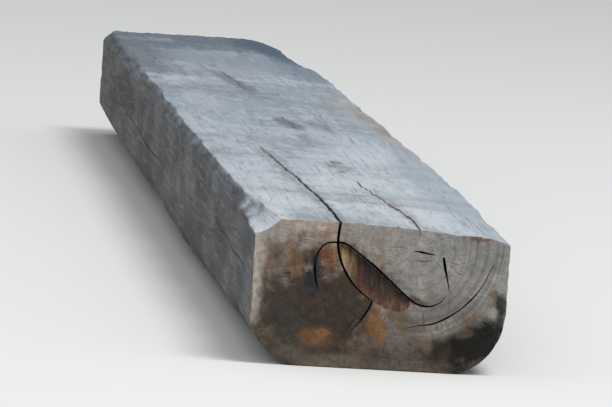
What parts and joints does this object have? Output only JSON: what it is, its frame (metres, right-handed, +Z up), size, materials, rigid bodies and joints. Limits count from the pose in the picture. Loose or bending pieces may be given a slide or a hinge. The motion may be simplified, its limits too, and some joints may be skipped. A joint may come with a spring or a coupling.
{
  "type": "railway sleeper",
  "caption": "Old hewn timber railway sleeper with weathered faces, a split end, planed rail seats and blind screw holes underneath.",
  "frame": {"origin": "centre of the underside, midway between the two ends, on the level that the sleeper lies on", "axes": "+Y along the timber from the split near end to the far end, +X across it to the right seen from the near end, +Z up as stored, with the rail seats facing down"},
  "size_m": [0.2509, 2.6, 0.141],
  "materials": {
    "weathered_timber": "bare, silver-grey weathered, brown end grain"
  },
  "bodies": {
    "root": {"sleeper": "weathered_timber"}
  },
  "joints": []
}
